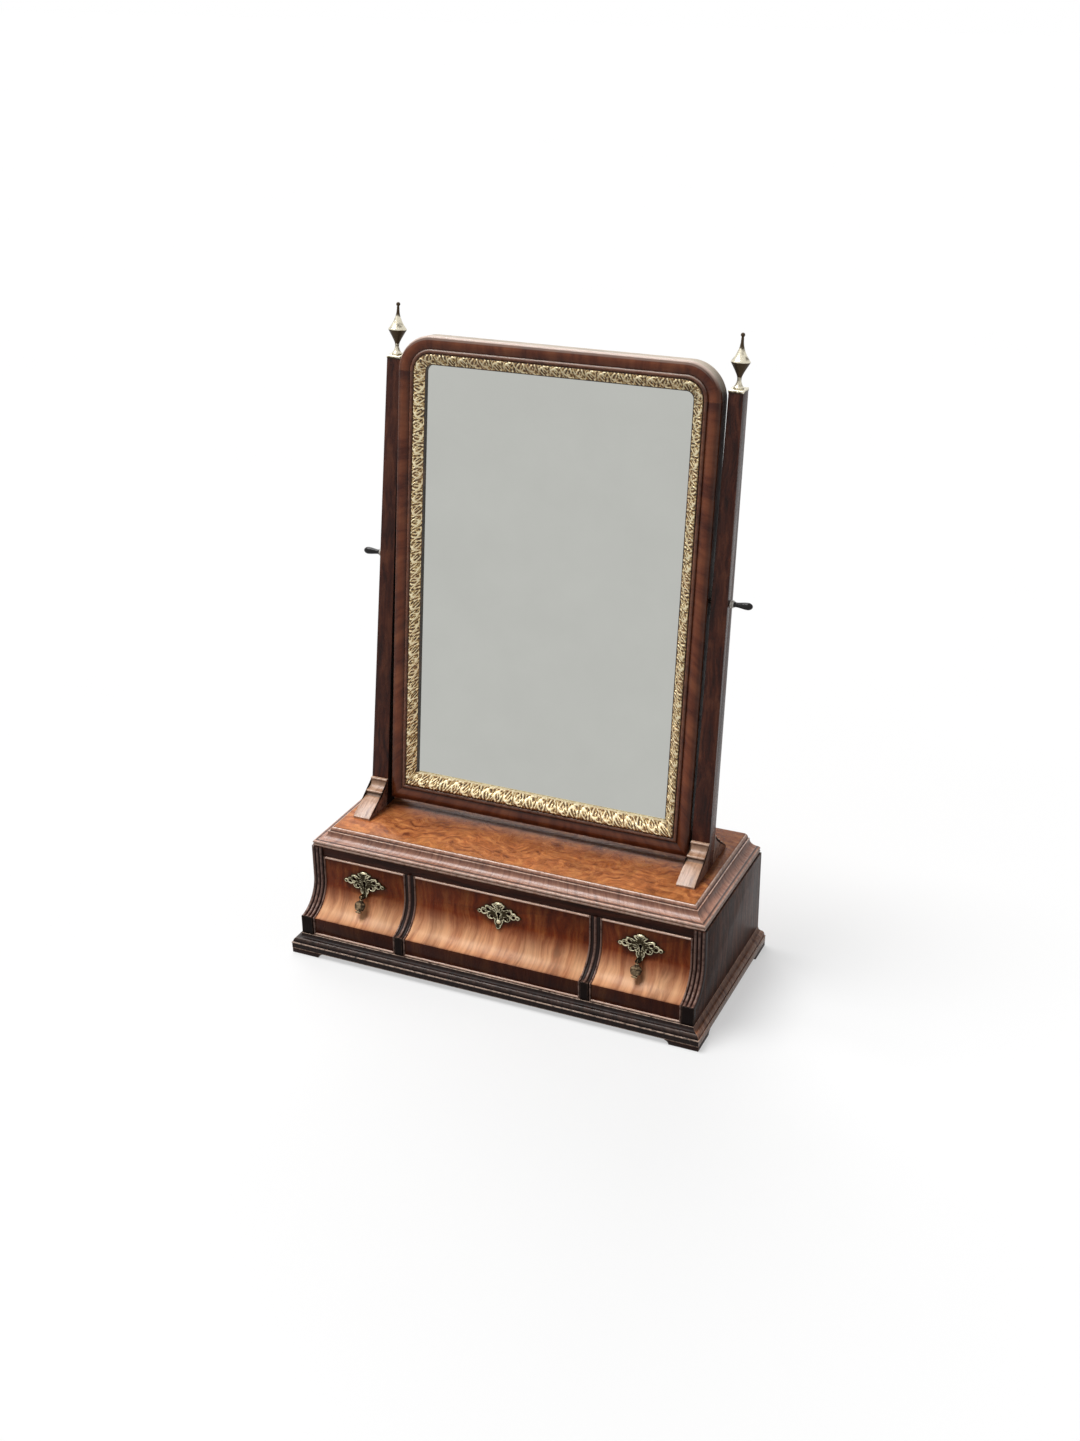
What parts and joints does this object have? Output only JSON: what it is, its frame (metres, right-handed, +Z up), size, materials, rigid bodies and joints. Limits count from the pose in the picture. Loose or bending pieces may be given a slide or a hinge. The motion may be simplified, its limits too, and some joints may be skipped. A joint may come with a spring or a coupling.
{
  "type": "toilet mirror with drawers",
  "caption": "Tilting toilet mirror between leaning posts on a box stand, with hollow-fronted drawers, drop handles, gilt slip and turned finials.",
  "frame": {"origin": "middle of the footprint on the table, at the underside of the feet", "axes": "+Z up, -Y out of the drawer fronts, +X to the right of someone who faces the mirror"},
  "size_m": [0.44, 0.2032, 0.6275],
  "materials": {
    "walnut": "waxed cross-grained walnut, low sheen",
    "dark_walnut": "dark waxed walnut, low sheen",
    "figured_walnut": "figured walnut veneer, polished",
    "pine": "bare aged pine and oak, dry",
    "brass": "cast brass, aged and dull",
    "pale_brass": "turned brass, worn pale",
    "gilt": "gilt gesso on carved wood, worn",
    "steel": "dull iron",
    "bone": "turned bone, satin",
    "ebonised": "black stained wood, polished",
    "mirror_glass": "old silvered glass"
  },
  "bodies": {
    "stand": {"bottom_board": "pine", "back_board": "pine", "side_left": "walnut", "side_right": "walnut", "partition_left": "pine", "partition_right": "pine", "front_strips": "dark_walnut", "top_rail": "dark_walnut", "top_board": "figured_walnut", "top_moulding_front": "walnut", "top_moulding_left": "walnut", "top_moulding_right": "walnut", "plinth_front": "walnut", "plinth_left": "walnut", "plinth_right": "walnut", "feet": "dark_walnut", "post_left": "dark_walnut", "post_right": "dark_walnut", "brackets": "walnut", "finials": "pale_brass", "pivot_collars": "bone"},
    "mirror": {"frame_top": "walnut", "frame_left": "walnut", "frame_right": "walnut", "frame_bottom": "walnut", "gilt_slip": "gilt", "mirror_glass": "mirror_glass", "backboard": "pine", "backboard_pins": "steel", "pivot_nuts": "brass"},
    "left_knob": {"screw_left": "steel", "knob_left": "ebonised"},
    "right_knob": {"screw_right": "steel", "knob_right": "ebonised"},
    "left_drawer": {"left_drawer_front": "figured_walnut", "left_drawer_linings": "pine", "left_drawer_bottom": "pine", "left_drawer_bead": "walnut", "left_drawer_plate": "brass", "left_drawer_lock": "brass", "left_pull_pin": "brass"},
    "left_bolt": {"left_lock_bolt": "steel"},
    "left_drop": {"left_drop": "brass"},
    "middle_drawer": {"middle_drawer_front": "figured_walnut", "middle_drawer_linings": "pine", "middle_drawer_bottom": "pine", "middle_drawer_bead": "walnut", "middle_drawer_plate": "brass", "middle_drawer_lock": "brass"},
    "middle_bolt": {"middle_lock_bolt": "steel"},
    "right_drawer": {"right_drawer_front": "figured_walnut", "right_drawer_linings": "pine", "right_drawer_bottom": "pine", "right_drawer_bead": "walnut", "right_drawer_plate": "brass", "right_drawer_lock": "brass", "right_pull_pin": "brass"},
    "right_bolt": {"right_lock_bolt": "steel"},
    "right_drop": {"right_drop": "brass"}
  },
  "joints": [
    {"name": "mirror_tilt", "type": "hinge", "parent": "stand", "child": "mirror", "pos_m": [0, 0.06044, 0.384], "axis": [1, 0, 0], "continuous": true},
    {"name": "left_knob_turn", "type": "hinge", "parent": "mirror", "child": "left_knob", "pos_m": [-0.19, 0.06044, 0.384], "axis": [-1, 0, 0], "range_deg": [0, 270]},
    {"name": "right_knob_turn", "type": "hinge", "parent": "mirror", "child": "right_knob", "pos_m": [0.19, 0.06044, 0.384], "axis": [1, 0, 0], "range_deg": [0, 270]},
    {"name": "left_drawer_slide", "type": "slide", "parent": "stand", "child": "left_drawer", "axis": [0, -1, 0], "range_m": [0, 0.095]},
    {"name": "middle_drawer_slide", "type": "slide", "parent": "stand", "child": "middle_drawer", "axis": [0, -1, 0], "range_m": [0, 0.095]},
    {"name": "right_drawer_slide", "type": "slide", "parent": "stand", "child": "right_drawer", "axis": [0, -1, 0], "range_m": [0, 0.095]},
    {"name": "left_bolt_lift", "type": "slide", "parent": "left_drawer", "child": "left_bolt", "axis": [0, 0, 1], "range_m": [0, 0.004]},
    {"name": "middle_bolt_lift", "type": "slide", "parent": "middle_drawer", "child": "middle_bolt", "axis": [0, 0, 1], "range_m": [0, 0.004]},
    {"name": "right_bolt_lift", "type": "slide", "parent": "right_drawer", "child": "right_bolt", "axis": [0, 0, 1], "range_m": [0, 0.004]},
    {"name": "left_drop_swing", "type": "hinge", "parent": "left_drawer", "child": "left_drop", "pos_m": [-0.15175, -0.0715, 0.0635], "axis": [-1, 0, 0], "range_deg": [0, 100]},
    {"name": "right_drop_swing", "type": "hinge", "parent": "right_drawer", "child": "right_drop", "pos_m": [0.14675, -0.0715, 0.0635], "axis": [-1, 0, 0], "range_deg": [0, 100]}
  ]
}
